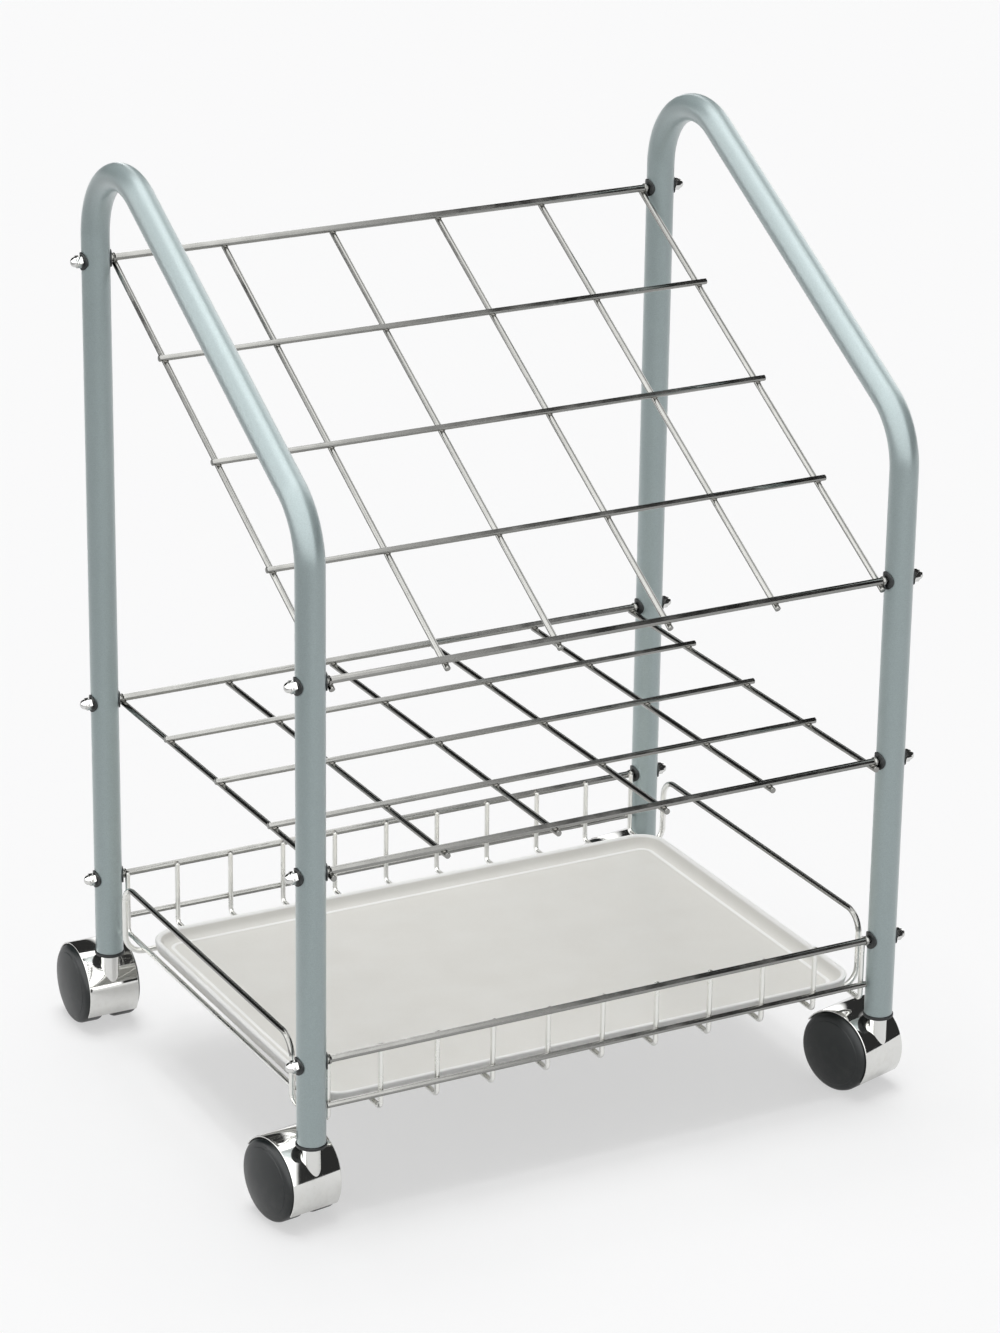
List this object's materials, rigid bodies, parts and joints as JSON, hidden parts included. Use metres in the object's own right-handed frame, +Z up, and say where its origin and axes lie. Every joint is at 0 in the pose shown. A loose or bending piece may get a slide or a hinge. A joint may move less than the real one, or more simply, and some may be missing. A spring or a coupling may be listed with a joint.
{
  "type": "mobile file cart",
  "caption": "Open wire roll file on casters: bent tube side frames carry a slanted grid, a flat grid and a basket with a tray, so that rolled drawings stand upright.",
  "frame": {"origin": "on the floor under the middle of the cart's bounding box", "axes": "+Z up, +X to the right seen from the low front side, +Y to the high back side"},
  "size_m": [0.47, 0.382, 0.624],
  "materials": {
    "frame_paint": "satin silver grey",
    "wire_chrome": "bright plated wire",
    "hardware_chrome": "bright plated",
    "washer_steel": "dull plated",
    "tray_plastic": "fine matte",
    "socket_plastic": "matte black",
    "stem_steel": "turned",
    "hood_chrome": "bright plated",
    "wheel_plastic": "semi-gloss black"
  },
  "bodies": {
    "frame": {"left_side_frame": "frame_paint", "right_side_frame": "frame_paint", "upper_grid": "wire_chrome", "middle_grid": "wire_chrome", "basket": "wire_chrome", "cap_nut_upper_front_left": "hardware_chrome", "washer_upper_front_left": "washer_steel", "cap_nut_upper_front_right": "hardware_chrome", "washer_upper_front_right": "washer_steel", "cap_nut_upper_back_left": "hardware_chrome", "washer_upper_back_left": "washer_steel", "cap_nut_upper_back_right": "hardware_chrome", "washer_upper_back_right": "washer_steel", "cap_nut_middle_front_left": "hardware_chrome", "washer_middle_front_left": "washer_steel", "cap_nut_middle_front_right": "hardware_chrome", "washer_middle_front_right": "washer_steel", "cap_nut_middle_back_left": "hardware_chrome", "washer_middle_back_left": "washer_steel", "cap_nut_middle_back_right": "hardware_chrome", "washer_middle_back_right": "washer_steel", "cap_nut_basket_front_left": "hardware_chrome", "washer_basket_front_left": "washer_steel", "cap_nut_basket_front_right": "hardware_chrome", "washer_basket_front_right": "washer_steel", "cap_nut_basket_back_left": "hardware_chrome", "washer_basket_back_left": "washer_steel", "cap_nut_basket_back_right": "hardware_chrome", "washer_basket_back_right": "washer_steel", "caster_socket_front_left": "socket_plastic", "caster_socket_front_right": "socket_plastic", "caster_socket_back_left": "socket_plastic", "caster_socket_back_right": "socket_plastic"},
    "tray": {"tray": "tray_plastic"},
    "caster_front_left": {"caster_stem_front_left": "stem_steel", "caster_hood_front_left": "hood_chrome", "caster_axle_front_left": "stem_steel"},
    "wheel_outer_front_left": {"wheel_outer_front_left": "wheel_plastic"},
    "wheel_inner_front_left": {"wheel_inner_front_left": "wheel_plastic"},
    "caster_front_right": {"caster_stem_front_right": "stem_steel", "caster_hood_front_right": "hood_chrome", "caster_axle_front_right": "stem_steel"},
    "wheel_outer_front_right": {"wheel_outer_front_right": "wheel_plastic"},
    "wheel_inner_front_right": {"wheel_inner_front_right": "wheel_plastic"},
    "caster_back_left": {"caster_stem_back_left": "stem_steel", "caster_hood_back_left": "hood_chrome", "caster_axle_back_left": "stem_steel"},
    "wheel_outer_back_left": {"wheel_outer_back_left": "wheel_plastic"},
    "wheel_inner_back_left": {"wheel_inner_back_left": "wheel_plastic"},
    "caster_back_right": {"caster_stem_back_right": "stem_steel", "caster_hood_back_right": "hood_chrome", "caster_axle_back_right": "stem_steel"},
    "wheel_outer_back_right": {"wheel_outer_back_right": "wheel_plastic"},
    "wheel_inner_back_right": {"wheel_inner_back_right": "wheel_plastic"}
  },
  "joints": [
    {"name": "tray_lift", "type": "slide", "parent": "frame", "child": "tray", "axis": [0, 0, 1], "range_m": [0, 0.14]},
    {"name": "swivel_front_left", "type": "hinge", "parent": "frame", "child": "caster_front_left", "pos_m": [-0.20667, -0.17848, 0.05], "axis": [0, 0, 1], "continuous": true},
    {"name": "spin_outer_front_left", "type": "hinge", "parent": "caster_front_left", "child": "wheel_outer_front_left", "pos_m": [-0.20985, -0.15722, 0.0275], "axis": [0.989, 0.1478, 0], "continuous": true},
    {"name": "spin_inner_front_left", "type": "hinge", "parent": "caster_front_left", "child": "wheel_inner_front_left", "pos_m": [-0.20985, -0.15722, 0.0275], "axis": [0.989, 0.1478, 0], "continuous": true},
    {"name": "swivel_front_right", "type": "hinge", "parent": "frame", "child": "caster_front_right", "pos_m": [0.21333, -0.17848, 0.05], "axis": [0, 0, 1], "continuous": true},
    {"name": "spin_outer_front_right", "type": "hinge", "parent": "caster_front_right", "child": "wheel_outer_front_right", "pos_m": [0.20711, -0.1579, 0.0275], "axis": [0.9573, 0.289, 0], "continuous": true},
    {"name": "spin_inner_front_right", "type": "hinge", "parent": "caster_front_right", "child": "wheel_inner_front_right", "pos_m": [0.20711, -0.1579, 0.0275], "axis": [0.9573, 0.289, 0], "continuous": true},
    {"name": "swivel_back_left", "type": "hinge", "parent": "frame", "child": "caster_back_left", "pos_m": [-0.20667, 0.13952, 0.05], "axis": [0, 0, 1], "continuous": true},
    {"name": "spin_outer_back_left", "type": "hinge", "parent": "caster_back_left", "child": "wheel_outer_back_left", "pos_m": [-0.20667, 0.16102, 0.0275], "axis": [1, 0, 0], "continuous": true},
    {"name": "spin_inner_back_left", "type": "hinge", "parent": "caster_back_left", "child": "wheel_inner_back_left", "pos_m": [-0.20667, 0.16102, 0.0275], "axis": [1, 0, 0], "continuous": true},
    {"name": "swivel_back_right", "type": "hinge", "parent": "frame", "child": "caster_back_right", "pos_m": [0.21333, 0.13952, 0.05], "axis": [0, 0, 1], "continuous": true},
    {"name": "spin_outer_back_right", "type": "hinge", "parent": "caster_back_right", "child": "wheel_outer_back_right", "pos_m": [0.20959, 0.16069, 0.0275], "axis": [0.9848, 0.1736, 0], "continuous": true},
    {"name": "spin_inner_back_right", "type": "hinge", "parent": "caster_back_right", "child": "wheel_inner_back_right", "pos_m": [0.20959, 0.16069, 0.0275], "axis": [0.9848, 0.1736, 0], "continuous": true}
  ]
}
